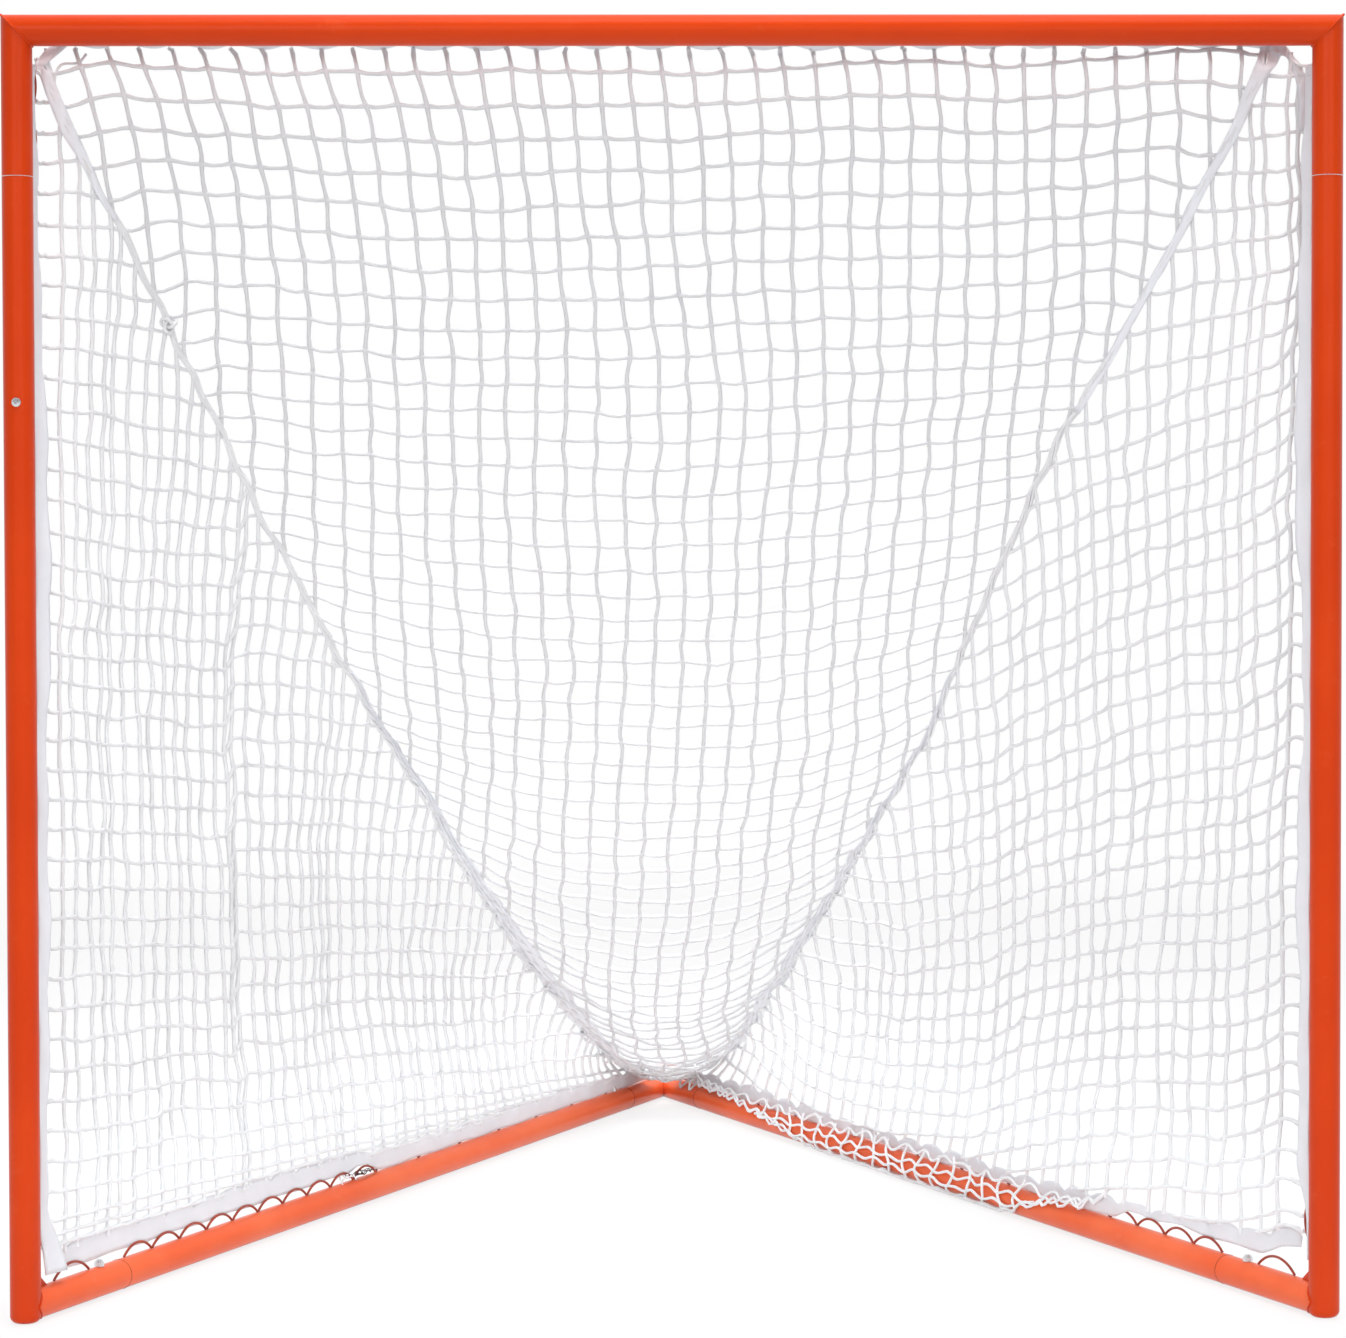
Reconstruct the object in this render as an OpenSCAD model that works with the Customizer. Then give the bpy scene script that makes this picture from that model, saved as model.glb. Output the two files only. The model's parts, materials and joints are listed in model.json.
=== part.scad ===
// Field goal with a laced net: a square tube mouth, a V-shaped ground base that runs back to one
// rear corner, and three net panels. Millimetres. +X to the right of someone who faces the mouth,
// +Y to the back, +Z up. The origin is on the ground, in the middle of the whole goal's outline.

/* [Mouth] */
// Clear width between the posts
mouth_w = 1828.8; // [1200:0.1:2400]
// Clear height under the crossbar
mouth_h = 1828.8; // [1200:0.1:2400]
// From the axes of the posts back to the axis of the rear corner
base_depth = 2133.6; // [1500:0.1:2600]

/* [Tube] */
// Outside diameter of every frame tube
tube_od = 44.45; // [38:0.05:60]
// Wall of every frame tube
tube_wall = 2.1; // [1.6:0.1:3.5]
// Free space between curved parts that touch
seat_gap = 0.3; // [0.2:0.05:0.5]

/* [Joints] */
// From the crossbar's axis down to the joint line on the posts
corner_drop = 208; // [150:1:260]
// From the post's axis along the base to the front joint line
front_joint = 250; // [220:1:320]
// From the rear corner along the base to the rear joint line
rear_joint = 197; // [150:1:260]
// Wall of the inner sleeves
sleeve_wall = 2.5; // [2:0.1:3.5]
// Length of a post sleeve above the joint line
post_sleeve_up = 120; // [80:1:140]
// Length of a base sleeve on each side of its joint line
base_sleeve_half = 95; // [80:1:130]
// From a base joint line to its stud
stud_inset = 55; // [40:1:70]

/* [Feet] */
// Height of the foot cap's outer part
foot_h = 14; // [12:1:20]
// Rounding of the foot cap's lower edge
foot_edge = 10; // [4:0.5:12]
// Length of the foot cap's stem inside the post
foot_stem = 25; // [15:1:40]

/* [Gusset] */
// Height of the gusset plate on the post
gusset_h = 26; // [15:1:60]
// Length of the gusset plate along the base
gusset_len = 30; // [15:1:45]
// Thickness of the gusset plate
gusset_t = 4; // [3:0.5:6]

/* [Fasteners] */
// Shank diameter of screws and studs
screw_d = 8; // [6:0.5:10]
// From the crossbar's axis down to the post screw
post_screw_drop = 530; // [450:1:600]
// Sleeve length beyond the post screw
screw_cover = 45; // [30:1:60]
// Head diameter of the post screw
head_d = 13; // [12:0.5:18]
// Head height of the post screw
head_h = 4.2; // [3.5:0.1:6]
// Width across the flats of the head's socket
socket_af = 5; // [3:0.5:6]
// Diameter of the weld nut inside the post sleeve
weld_nut_d = 15; // [14:0.5:18]
// Length of the weld nut
weld_nut_len = 8; // [6:0.5:10]
// Width across the flats of a lock nut
nut_af = 13; // [12.5:0.5:17]
// Height of a lock nut's hexagon
nut_hex_h = 6; // [4:0.5:8]
// Height of a lock nut's round collar
nut_collar_h = 2; // [1:0.5:3]
// Stud end that stands above its lock nut
stud_end = 2; // [1:0.5:5]
// Diameter of the stud's weld head
stud_head_d = 16; // [14:0.5:18]
// Thickness of the stud's weld head
stud_head_h = 3; // [2:0.5:4]

/* [Lacing rods] */
// Diameter of the lacing rod
rod_d = 4; // [3:0.5:6]
// Length of one arch of the lacing rod, before it is fitted to its tube
arch_pitch = 82; // [60:1:110]
// Height of one arch
arch_rise = 17; // [12:0.5:24]
// Length of the single arch on each front base tube
stub_arch_len = 96; // [70:1:110]
// Height of the single arch
stub_arch_rise = 20; // [12:0.5:24]
// From the post's axis to the single arch
stub_arch_at = 72; // [65:1:90]
// Bare tube at the ends of a row of arches
rod_end = 12; // [8:1:40]
// Free space between the feet of neighbouring arches
arch_space = 0.4; // [0.2:0.1:3]
// Angle of the post rods from straight back towards the mouth
post_rod_turn = 32; // [20:1:45]
// Angle of the crossbar rod from straight back down
bar_rod_turn = 20; // [0:1:45]

/* [Webbing] */
// Width of the hem webbing
web_w = 30; // [20:1:45]
// Thickness of the hem webbing
web_t = 2; // [1.5:0.1:3]
// Overlap of the webbing with the crests of the arches
web_lap = 4; // [2:0.5:8]
// From the axes of the mouth's tubes to the ends of their webbing
web_end = 62; // [50:1:120]
// From the rear corner along the base to the end of the webbing
web_rear = 46; // [40:1:100]

/* [Net] */
// Thickness of the net's cords
cord_d = 6; // [4:0.5:8]
// Columns of the top panel on each side of the middle
top_columns = 8; // [4:1:9]
// Rows of the top panel for each of its columns
rows_per_column = 2; // [1:1:2]
// Columns of a side panel
side_columns = 14; // [8:1:15]
// Rows of a side panel at the post
side_rows = 11; // [6:1:12]
// How slowly the bag runs back under the crossbar
bag_back = 1.38; // [1:0.01:1.6]
// How steeply the bag drops under the crossbar
bag_drop = 1.42; // [1:0.01:1.6]
// How fast the top panel narrows
bag_narrow = 1.28; // [1:0.01:1.5]
// Diameter of the seam cords
seam_d = 12; // [8:0.5:16]
// From the rear corner along the base to the ends of the seam cords
seam_end = 66; // [60:1:110]

/* [Hidden] */
$fn = 64;

// The frame's lines
tube_r = tube_od / 2;
tube_id = tube_od - 2 * tube_wall;
post_x = mouth_w / 2 + tube_r;
bar_z = mouth_h + tube_r;
joint_z = bar_z - corner_drop;
side_angle = atan2(post_x, base_depth);
side_len = norm([post_x, base_depth]);
corner_tip = tube_r / sin(side_angle);
front_reach = tube_r + seat_gap + head_h;
rear_reach = base_depth + corner_tip;
goal_y = (front_reach - rear_reach) / 2;

// Sleeves and fasteners
sleeve_od = tube_id - 2 * seat_gap;
sleeve_r = sleeve_od / 2 - sleeve_wall;
screw_z = bar_z - post_screw_drop;
sleeve_low_z = screw_z - screw_cover;
sleeve_high_z = joint_z + post_sleeve_up;
hole_d = screw_d + 2 * seat_gap;
weld_nut_top = sqrt(sleeve_r * sleeve_r - weld_nut_d * weld_nut_d / 4) - seat_gap;
stud_head_top = sqrt(sleeve_r * sleeve_r - stud_head_d * stud_head_d / 4) - seat_gap;
front_stud_at = front_joint - stud_inset;
rear_stud_at = side_len - rear_joint - stud_inset;

// Lacing rods: each arch is a bent piece of round bar, part of a ring whose middle is under the tube's
// surface, and its feet stand on the tube
function arch_ring(pitch, rise) = (pitch * pitch / 4 + rise * rise) / (2 * rise);
function arch_half(pitch, rise) = asin((pitch - arch_space) / 2 / (arch_ring(pitch, rise) + rod_d / 2));
function arch_middle(pitch, rise) =
    tube_r + seat_gap - (arch_ring(pitch, rise) - rod_d / 2) * cos(arch_half(pitch, rise));
function fitted(length) = max(1, round(length / arch_pitch));
bar_rod_len = mouth_w - 2 * rod_end;
drop_rod_len = corner_drop - tube_r - 2 * rod_end;
post_rod_low = tube_od + gusset_h + 2 * rod_end;
post_rod_len = joint_z - rod_end - post_rod_low;
side_rod_len = side_len - front_joint - rear_joint - 2 * rod_end;

// Webbing: beside the crests of the arches, on their outer side
web_foot = arch_middle(arch_pitch, arch_rise) + arch_ring(arch_pitch, arch_rise) - web_lap;
web_top = web_foot + web_w;
web_side = rod_d / 2 + seat_gap;
web_mid = web_side + web_t / 2;
web_post_low = tube_r + web_top + seat_gap;

// Net outline
cord_r = cord_d / 2;
edge_gap = 0.6;
hem_z = tube_r + web_top + edge_gap;
front_edge = web_top + edge_gap + cord_r / 2;
front_x = post_x - front_edge * sin(post_rod_turn) + web_mid * cos(post_rod_turn);
front_y = goal_y + front_edge * cos(post_rod_turn) + web_mid * sin(post_rod_turn);
bar_edge = web_top + seat_gap + web_t / 2 * tan(45 - bar_rod_turn);
net_y = goal_y + bar_edge * cos(bar_rod_turn) + web_mid * sin(bar_rod_turn);
net_z = bar_z - bar_edge * sin(bar_rod_turn) + web_mid * cos(bar_rod_turn);
seam_slant = 0.85;
seam_in = seam_d / 2 + seat_gap - web_side;
rear_x = seam_end * sin(side_angle) - seam_in * cos(side_angle);
rear_y = goal_y + base_depth - seam_end * cos(side_angle) - seam_in * sin(side_angle);
rear_z = tube_r + web_foot + web_w / 2;
seam_side = (seam_d / 2 + cord_r + edge_gap) / seam_slant;
most_inwards = 0.3;
same_point = 0.01;
hair = 0.001;
seam_rings = 28;
seam_sides = 8;
way_step = 0.01;
bands = top_columns * rows_per_column;

// The bag's hanging curve, from the crossbar (t = 0) to the rear corner (t = 1)
function bag_y(t) = net_y + (rear_y - net_y) * pow(t, bag_back);
function bag_z(t) = rear_z + (net_z - rear_z) * pow(1 - t, bag_drop);
function bag_x(t) = rear_x + (front_x - rear_x) * pow(1 - t, bag_narrow);
function seam_point(t) = [bag_x(t), bag_y(t), bag_z(t)];

paint = [0.86, 0.25, 0.06];
white = [0.93, 0.93, 0.95];
silver = [0.75, 0.76, 0.78];
dark_steel = [0.35, 0.35, 0.37];

// ---- placing ----

// The left half is the right half in a mirror
module on_side(side) {
    if (side == "left") mirror([1, 0, 0]) children();
    else children();
}

// Along the right base side: X from the post to the rear corner, Y into the goal, Z up, on the axis
module along_side() {
    translate([post_x, goal_y, tube_r]) rotate([0, 0, 90 + side_angle]) children();
}

// Along the right post: X up, Z from the axis towards the webbing, Y away from the mouth
module along_post() {
    translate([post_x, goal_y, 0]) rotate([0, 0, post_rod_turn - 90]) rotate([0, -90, 0]) children();
}

// Along the crossbar: X to the right, Z from the axis towards the webbing, Y down
module along_bar() {
    translate([0, goal_y, bar_z]) rotate([-90 - bar_rod_turn, 0, 0]) children();
}

// ---- shared shapes ----

module pipe(length, od, wall) {
    difference() {
        cylinder(d = od, h = length);
        translate([0, 0, -1]) cylinder(d = od - 2 * wall, h = length + 2);
    }
}

// A pipe along X, from one place to another
module pipe_x(from, to, od, wall) {
    translate([from, 0, 0]) rotate([0, 90, 0]) pipe(to - from, od, wall);
}

// An outline in X and Z, as thick as asked, across Y
module upright(thickness) {
    rotate([90, 0, 0]) linear_extrude(height = thickness, center = true) children();
}

// A hole in the upper wall of a tube along X
module stud_hole(at) {
    translate([at, 0, 0]) cylinder(d = hole_d, h = tube_od);
}

// A lacing rod of whole arches over a length of tube along X
module rod(from, length, count, rise) {
    pitch = length / count;
    half = arch_half(pitch, rise);
    for (i = [0 : count - 1])
        color(paint) translate([from + (i + 0.5) * pitch, 0, arch_middle(pitch, rise)])
            rotate([90, half - 90, 0]) rotate_extrude(angle = 2 * half)
                translate([arch_ring(pitch, rise), 0]) circle(d = rod_d, $fn = 24);
}

// Webbing along X, on the side that is given as 1 or -1
module webbing(from, length, side) {
    low_y = side > 0 ? web_side : -web_side - web_t;
    color(white) translate([from, low_y, web_foot]) cube([length, web_t, web_w]);
}

// ---- tubes ----

module crossbar() {
    reach = post_x + tube_od;
    color(paint) intersection() {
        translate([0, goal_y, bar_z]) pipe_x(-reach, reach, tube_od, tube_wall);
        translate([0, goal_y, bar_z]) upright(2 * tube_od) polygon([
            [-reach, tube_od], [reach, tube_od],
            [post_x - tube_od, -tube_od], [tube_od - post_x, -tube_od]]);
    }
}

module top_corner(side) {
    color(paint) on_side(side) intersection() {
        translate([post_x, goal_y, joint_z]) pipe(corner_drop + tube_od, tube_od, tube_wall);
        translate([post_x, goal_y, bar_z]) upright(2 * tube_od) polygon([
            [-tube_od, -tube_od], [tube_od, tube_od],
            [tube_od, -corner_drop - 1], [-tube_od, -corner_drop - 1]]);
    }
}

// The left screw faces the front and the right one the back
module post_hole(side) {
    facing = side == "left" ? 90 : -90;
    translate([0, 0, screw_z]) rotate([facing, 0, 0]) cylinder(d = hole_d, h = tube_od);
}

module post(side) {
    color(paint) on_side(side) translate([post_x, goal_y, 0]) difference() {
        translate([0, 0, foot_h]) pipe(joint_z - foot_h, tube_od, tube_wall);
        post_hole(side);
    }
}

module post_sleeve(side) {
    color(dark_steel) on_side(side) translate([post_x, goal_y, 0]) difference() {
        translate([0, 0, sleeve_low_z]) pipe(sleeve_high_z - sleeve_low_z, sleeve_od, sleeve_wall);
        post_hole(side);
    }
}

module foot_cap(side) {
    color(paint) on_side(side) translate([post_x, goal_y, 0]) {
        rotate_extrude() union() {
            square([tube_r - foot_edge, foot_h]);
            translate([0, foot_edge]) square([tube_r, foot_h - foot_edge]);
            intersection() {
                translate([tube_r - foot_edge, foot_edge]) circle(r = foot_edge);
                square([tube_r, foot_h]);
            }
        }
        translate([0, 0, foot_h - 1]) cylinder(r = tube_id / 2 - seat_gap, h = foot_stem + 1);
    }
}

module front_base(side) {
    color(paint) on_side(side) along_side() difference() {
        pipe_x(0, front_joint, tube_od, tube_wall);
        translate([0, 0, -tube_od]) cylinder(r = tube_r + seat_gap, h = 2 * tube_od);
        stud_hole(front_stud_at);
    }
}

module gusset(side) {
    foot = tube_r + seat_gap;
    color(paint) on_side(side) along_side() upright(gusset_t)
        polygon([[foot, foot], [foot + gusset_len, foot], [foot, foot + gusset_h]]);
}

module base_side(side) {
    color(paint) on_side(side) along_side() difference() {
        pipe_x(front_joint, side_len - rear_joint, tube_od, tube_wall);
        stud_hole(rear_stud_at);
    }
}

module rear_corner(side) {
    color(paint) on_side(side) intersection() {
        along_side() pipe_x(side_len - rear_joint, side_len + 3 * tube_od, tube_od, tube_wall);
        translate([0, 0, -tube_od]) cube([post_x, rear_reach, 3 * tube_od]);
    }
}

module base_sleeve(side, joint_at, stud_at) {
    color(dark_steel) on_side(side) along_side() difference() {
        pipe_x(joint_at - base_sleeve_half, joint_at + base_sleeve_half, sleeve_od, sleeve_wall);
        stud_hole(stud_at);
    }
}

// ---- fasteners ----

// A round-headed screw along +Z, its head's flat at the tube's surface
module post_screw() {
    rim_h = 1.2;
    dome_h = head_h - rim_h;
    dome_r = (head_d * head_d / 4 + dome_h * dome_h) / (2 * dome_h);
    tip = weld_nut_top - weld_nut_len;
    translate([0, 0, tip]) cylinder(d = screw_d, h = tube_r + seat_gap - tip + 1);
    translate([0, 0, tube_r + seat_gap]) difference() {
        union() {
            cylinder(d = head_d, h = rim_h);
            translate([0, 0, rim_h]) intersection() {
                translate([0, 0, dome_h - dome_r]) sphere(r = dome_r, $fn = 96);
                cylinder(d = head_d, h = dome_h + 1);
            }
        }
        translate([0, 0, rim_h]) cylinder(d = socket_af / cos(30), h = head_h, $fn = 6);
    }
}

module at_screw(side) {
    facing = side == "left" ? 90 : -90;
    on_side(side) translate([post_x, goal_y, screw_z]) rotate([facing, 0, 0]) children();
}

module post_screws() {
    for (side = ["left", "right"]) color(silver) at_screw(side) post_screw();
}

module weld_nuts() {
    for (side = ["left", "right"]) {
        color(dark_steel) at_screw(side) translate([0, 0, weld_nut_top - weld_nut_len]) difference() {
            cylinder(d = weld_nut_d, h = weld_nut_len);
            translate([0, 0, -1]) cylinder(d = hole_d, h = weld_nut_len + 2);
        }
    }
}

module at_studs() {
    for (side = ["left", "right"], at = [front_stud_at, rear_stud_at])
        on_side(side) along_side() translate([at, 0, 0]) children();
}

module base_studs() {
    top = tube_r + seat_gap + nut_hex_h + nut_collar_h + stud_end;
    color(silver) at_studs() {
        translate([0, 0, stud_head_top - stud_head_h]) cylinder(d = stud_head_d, h = stud_head_h);
        translate([0, 0, stud_head_top - 1]) cylinder(d = screw_d, h = top - stud_head_top + 1);
    }
}

module lock_nuts() {
    color(silver) at_studs() translate([0, 0, tube_r + seat_gap]) difference() {
        union() {
            cylinder(d = nut_af / cos(30), h = nut_hex_h, $fn = 6);
            translate([0, 0, nut_hex_h - 0.5]) cylinder(d = nut_af - 1, h = nut_collar_h + 0.5);
        }
        translate([0, 0, -1]) cylinder(d = hole_d, h = nut_hex_h + nut_collar_h + 2);
    }
}

// ---- lacing rods and webbing ----

module rod_crossbar() {
    along_bar() rod(-bar_rod_len / 2, bar_rod_len, fitted(bar_rod_len), arch_rise);
}

module rod_top(side) {
    on_side(side) along_post()
        rod(joint_z + rod_end, drop_rod_len, fitted(drop_rod_len), arch_rise);
}

module rod_post(side) {
    on_side(side) along_post() rod(post_rod_low, post_rod_len, fitted(post_rod_len), arch_rise);
}

module rod_front(side) {
    on_side(side) along_side() rod(stub_arch_at, stub_arch_len, 1, stub_arch_rise);
}

module rod_side(side) {
    on_side(side) along_side()
        rod(front_joint + rod_end, side_rod_len, fitted(side_rod_len), arch_rise);
}

module web_crossbar() {
    length = mouth_w - 2 * (web_end - tube_r);
    along_bar() webbing(-length / 2, length, -1);
}

module web_post(side) {
    on_side(side) along_post() webbing(web_post_low, bar_z - web_end - web_post_low, 1);
}

module web_base(side) {
    on_side(side) along_side() webbing(web_top, side_len - web_top - web_rear, -1);
}

// ---- net ----

function unit(v) = v / norm(v);

// A corner of a cell, moved inwards by half a cord across both edges, or less in a small cell
function inner_corner(before, p, after) =
    let (a = unit(before - p), b = unit(after - p), shorter = min(norm(before - p), norm(after - p)))
    p + (a + b) * min(cord_r / norm(cross(a, b)), most_inwards * shorter / norm(a + b));

function inner_loop(loop) =
    let (n = len(loop))
    [for (i = [0 : n - 1]) inner_corner(loop[(i + n - 1) % n], loop[i], loop[(i + 1) % n])];

function loop_edges(loop) = [for (i = [0 : len(loop) - 1]) [loop[i], loop[(i + 1) % len(loop)]]];

function is_shared(edge, edges) =
    len([for (other = edges) if (norm(other[0] - edge[1]) + norm(other[1] - edge[0]) < same_point) 1]) > 0;

function split(a, b, c, d) = [[a, b, c], [a, c, d]];

// A sheet of cells: each cell is a frame of cord round one gap, and open edges get a wall.
// thick is half of the cord's thickness as a vector across the sheet.
module lattice(cells, thick) {
    edges = [for (cell = cells) each loop_edges(cell)];
    rims = [for (edge = edges) if (!is_shared(edge, edges)) edge];
    points = concat(
        [for (cell = cells, p = concat(cell, inner_loop(cell))) each [p + thick, p - thick]],
        [for (edge = rims) each [edge[0] + thick, edge[0] - thick, edge[1] + thick, edge[1] - thick]]);
    starts = [for (i = 0, at = 0; i <= len(cells); at = at + 4 * len(cells[min(i, len(cells) - 1)]),
        i = i + 1) at];
    frames = [for (c = [0 : len(cells) - 1])
        let (n = len(cells[c]), s = starts[c])
        for (i = [0 : n - 1])
            let (a = s + 2 * i, b = s + 2 * ((i + 1) % n), p = a + 2 * n, q = b + 2 * n)
            each concat(split(a, p, q, b), split(a + 1, b + 1, q + 1, p + 1), split(p, p + 1, q + 1, q))];
    walls = [for (i = [0 : len(rims) - 1])
        let (a = starts[len(cells)] + 4 * i)
        each split(a, a + 2, a + 3, a + 1)];
    color(white) polyhedron(points = points, faces = concat(frames, walls), convexity = 10);
}

// Cells under a falling edge, which stands height[i] rows above the start of column i. The edge cuts
// the cells that it crosses. A cell's corners are [column, row].
function cut_at(i, level, height) = [i + (height[i] - level) / (height[i] - height[i + 1]), level];

function cell_corners(i, k, height) =
    let (high = height[i], low = height[i + 1])
    concat(
        [[i, k]],
        [low >= k ? [i + 1, k] : cut_at(i, k, height)],
        low > k ? [[i + 1, min(k + 1, low)]] : [],
        low < k + 1 && high > k + 1 ? [cut_at(i, k + 1, height)] : [],
        [[i, min(k + 1, high)]]);

function cells_under(height) = [for (i = [0 : len(height) - 2])
    for (k = [0 : ceil(height[i] - hair) - 1]) cell_corners(i, k, height)];

// Top panel: row i, column k from the middle, and its edge against the seam cord
function row_t(i) = 1 - pow(1 - i / bands, 1 / bag_narrow);
top_heights = [for (i = [0 : bands]) top_columns * (1 - i / bands)];

function top_point(i, k, side) =
    let (t = row_t(i), full = max(top_columns * (1 - i / bands), hair), end = i > bands - hair)
    [end ? 0 : side * min(k / full, 1) * max(bag_x(t) - seam_side, 0), bag_y(t), bag_z(t)];

module net_top() {
    right = [for (cell = cells_under(top_heights)) [for (p = cell) top_point(p[0], p[1], 1)]];
    left = [for (cell = cells_under(top_heights))
        [for (n = len(cell), m = 0; m < n; m = m + 1) top_point(cell[n - 1 - m][0], cell[n - 1 - m][1], -1)]];
    lattice(concat(right, left), cord_r * unit([0, 1, 1]));
}

// Side panel: column i from the post, row k from the hem
function side_t(i) = pow(i / side_columns, 1 / bag_back);
row_h = (net_z - hem_z) / side_rows;
side_heights = [for (i = [0 : side_columns])
    max(0, (bag_z(side_t(i)) - hem_z) / row_h)];

function side_point(i, k) =
    let (t = side_t(i), top = seam_point(t) + [seam_side, 0, 0], share = i / side_columns,
        foot = [front_x, front_y, hem_z] * (1 - share) + [rear_x + seam_side, rear_y, hem_z] * share,
        rise = k * row_h / max(top[2] - hem_z, hair))
    foot + (top - foot) * min(rise, 1);

module net_side(side) {
    cells = [for (cell = cells_under(side_heights)) [for (p = cell) side_point(p[0], p[1])]];
    on_side(side) lattice(cells, cord_r * [cos(side_angle), sin(side_angle), 0]);
}

// The seam cord: rings of points round its curve
function seam_way(t) = unit(seam_point(min(t + way_step, 1)) - seam_point(max(t - way_step, 0)));

function seam_ring(t) =
    let (way = seam_way(t), a = unit(cross(way, [1, 0, 0])), b = cross(way, a))
    [for (i = [0 : seam_sides - 1])
        let (turn = 360 * i / seam_sides)
        seam_point(t) + (a * cos(turn) + b * sin(turn)) * seam_d / 2];

module seam(side) {
    points = [for (i = [0 : seam_rings]) each seam_ring(i / seam_rings)];
    last = seam_rings * seam_sides;
    tube = [for (i = [0 : seam_rings - 1], k = [0 : seam_sides - 1])
        let (a = i * seam_sides + k, b = i * seam_sides + (k + 1) % seam_sides)
        each split(a, a + seam_sides, b + seam_sides, b)];
    caps = [for (k = [1 : seam_sides - 2]) each [[0, k, k + 1], [last, last + k + 1, last + k]]];
    on_side(side) color(white) polyhedron(points = points, faces = concat(tube, caps), convexity = 6);
}

crossbar();
top_corner("left");  // top_corner_left
top_corner("right");  // top_corner_right
post("left");  // post_left
post("right");  // post_right
foot_cap("left");  // foot_cap_left
foot_cap("right");  // foot_cap_right
front_base("left");  // front_base_left
front_base("right");  // front_base_right
gusset("left");  // gusset_left
gusset("right");  // gusset_right
base_side("left");  // base_side_left
base_side("right");  // base_side_right
rear_corner("left");  // rear_corner_left
rear_corner("right");  // rear_corner_right
post_sleeve("left");  // post_sleeve_left
post_sleeve("right");  // post_sleeve_right
base_sleeve("left", front_joint, front_stud_at);  // front_sleeve_left
base_sleeve("right", front_joint, front_stud_at);  // front_sleeve_right
base_sleeve("left", side_len - rear_joint, rear_stud_at);  // rear_sleeve_left
base_sleeve("right", side_len - rear_joint, rear_stud_at);  // rear_sleeve_right
post_screws();
weld_nuts();
base_studs();
lock_nuts();
rod_crossbar();
rod_top("left");  // rod_top_left
rod_top("right");  // rod_top_right
rod_post("left");  // rod_post_left
rod_post("right");  // rod_post_right
rod_front("left");  // rod_front_left
rod_front("right");  // rod_front_right
rod_side("left");  // rod_side_left
rod_side("right");  // rod_side_right
net_top();
net_side("left");  // net_left
net_side("right");  // net_right
seam("left");  // seam_left
seam("right");  // seam_right
web_crossbar();
web_post("left");  // web_post_left
web_post("right");  // web_post_right
web_base("left");  // web_base_left
web_base("right");  // web_base_right
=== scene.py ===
"""Field lacrosse goal: finishes of the steel frame, and the net with its tapes, cords and lacing, in metres."""
import itertools
import json
import math

import bmesh
import bpy
from mathutils import Matrix, Vector, noise


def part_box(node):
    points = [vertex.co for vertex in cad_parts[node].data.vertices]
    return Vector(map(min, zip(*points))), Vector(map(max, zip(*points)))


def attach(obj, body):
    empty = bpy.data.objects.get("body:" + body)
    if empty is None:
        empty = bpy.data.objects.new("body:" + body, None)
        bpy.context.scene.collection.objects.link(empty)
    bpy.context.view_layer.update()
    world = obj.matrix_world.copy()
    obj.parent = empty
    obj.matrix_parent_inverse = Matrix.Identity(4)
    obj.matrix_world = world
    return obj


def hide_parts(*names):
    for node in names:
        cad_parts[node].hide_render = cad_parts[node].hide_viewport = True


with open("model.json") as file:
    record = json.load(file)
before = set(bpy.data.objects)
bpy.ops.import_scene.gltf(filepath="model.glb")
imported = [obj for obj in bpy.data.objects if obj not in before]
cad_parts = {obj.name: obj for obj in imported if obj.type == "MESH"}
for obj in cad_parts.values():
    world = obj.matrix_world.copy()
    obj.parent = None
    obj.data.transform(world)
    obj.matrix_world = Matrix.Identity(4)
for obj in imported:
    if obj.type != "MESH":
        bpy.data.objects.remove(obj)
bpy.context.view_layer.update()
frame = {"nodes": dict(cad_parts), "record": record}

noise.seed_set(7)     # or else the net's slack differs from run to run

# ---------------------------------------------------------------- sizes of the frame
TUBE_R = 0.022225          # outside radius of every tube
POST_X = 0.936625          # from the middle to a post's axis
BAR_Z = 1.851025           # height of the crossbar's axis
CORNER_Y = 2.1336          # from the posts' line to the rear corner of the base
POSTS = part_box("post_left")
FRONT = (POSTS[0][1] + POSTS[1][1]) / 2      # the posts' line in the frame of the whole goal
SIDE_ANGLE = math.atan2(POST_X, CORNER_Y)
JOINT_Z = 1.643            # where the posts meet the top corners
ARCH = 0.082               # length of one arch of a lacing rod
LEFT, RIGHT = -1, 1
SIDES = ((LEFT, "left"), (RIGHT, "right"))
UP, BACK = Vector((0, 0, 1)), Vector((0, 1, 0))


def spot(x, back, z):
    """A point from its distance to the right, behind the posts' line and above the ground."""
    return Vector((x, FRONT + back, z))


def way_back(side):
    """The direction from a post along its base tube."""
    return Vector((-side * math.sin(SIDE_ANGLE), math.cos(SIDE_ANGLE), 0))


def way_out(side):
    """The direction out of the goal, square to a base tube."""
    return Vector((side * math.cos(SIDE_ANGLE), math.sin(SIDE_ANGLE), 0))


def raised(point, height):
    """The point, moved up to the height if it's lower."""
    point.z = max(point.z, height)
    return point


def turns(count):
    """The angles of a full turn in equal steps, with both of its ends."""
    return [2 * math.pi * k / count for k in range(count + 1)]


def soft_step(x, low=0.0, high=1.0):
    """0 below low, 1 above high, and a soft step between them."""
    x = min(max((x - low) / (high - low), 0.0), 1.0)
    return x * x * (3 - 2 * x)


def between(x, points):
    """The value at x on the broken line through the points."""
    for (x0, y0), (x1, y1) in zip(points, points[1:]):
        if x <= x1:
            return y0 + (y1 - y0) * max(x - x0, 0.0) / (x1 - x0)
    return points[-1][1]


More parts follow.
